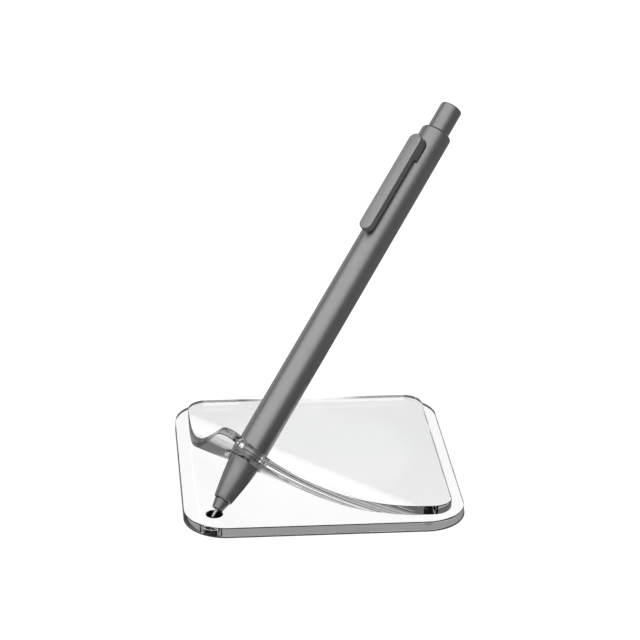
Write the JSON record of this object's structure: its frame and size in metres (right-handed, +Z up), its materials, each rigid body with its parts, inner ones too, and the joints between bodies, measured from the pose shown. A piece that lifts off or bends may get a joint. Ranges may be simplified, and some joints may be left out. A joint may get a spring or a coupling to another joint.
{
  "type": "pen holder",
  "caption": "Clear desk pen stand: square base with a smaller sheet on it that curls up at one corner, a slim click pen leaning through its hole into a small cup.",
  "frame": {"origin": "under the middle of the base plate, on the surface it stands on", "axes": "+Z up, +X to the right and +Y to the back; the curled corner and the pen's tip are at the front left"},
  "size_m": [0.0861, 0.0861, 0.0985],
  "materials": {
    "clear_acrylic": "gloss",
    "black_plastic": "matte",
    "grey_metal": "matte",
    "white_plastic": "matte",
    "milky_plastic": "satin",
    "steel": "satin"
  },
  "bodies": {
    "stand": {"base_plate": "clear_acrylic", "curled_sheet": "clear_acrylic", "tip_socket": "black_plastic"},
    "pen": {"barrel": "grey_metal", "front_cone": "grey_metal", "nozzle": "grey_metal", "cam_sleeve": "white_plastic", "return_spring": "steel"},
    "clip": {"clip": "grey_metal"},
    "button": {"push_button": "grey_metal", "plunger_cam": "white_plastic"},
    "refill": {"rotor_cam": "white_plastic", "refill_tube": "milky_plastic", "refill_tip": "steel", "refill_ball": "steel", "refill_plug": "white_plastic"}
  },
  "joints": [
    {"name": "pen_lift", "type": "slide", "parent": "stand", "child": "pen", "axis": [0.5304, 0.5304, 0.6613], "range_m": [0, 0.03]},
    {"name": "button_travel", "type": "slide", "parent": "pen", "child": "button", "axis": [0.5304, 0.5304, 0.6613], "range_m": [-0.0008, 0.005], "stiffness_N_per_m": 300},
    {"name": "refill_travel", "type": "slide", "parent": "pen", "child": "refill", "axis": [0.5304, 0.5304, 0.6613], "range_m": [-0.0008, 0.005], "deforming": ["return_spring"]},
    {"name": "clip_flex", "type": "hinge", "parent": "pen", "child": "clip", "pos_m": [0.03345, 0.03345, 0.09], "axis": [-0.7071, 0.7071, 0], "range_deg": [0, 4], "stiffness_Nm_per_rad": 3}
  ],
  "couplings": [
    {"joint": "refill_travel", "follows": "button_travel", "ratio": 1}
  ]
}
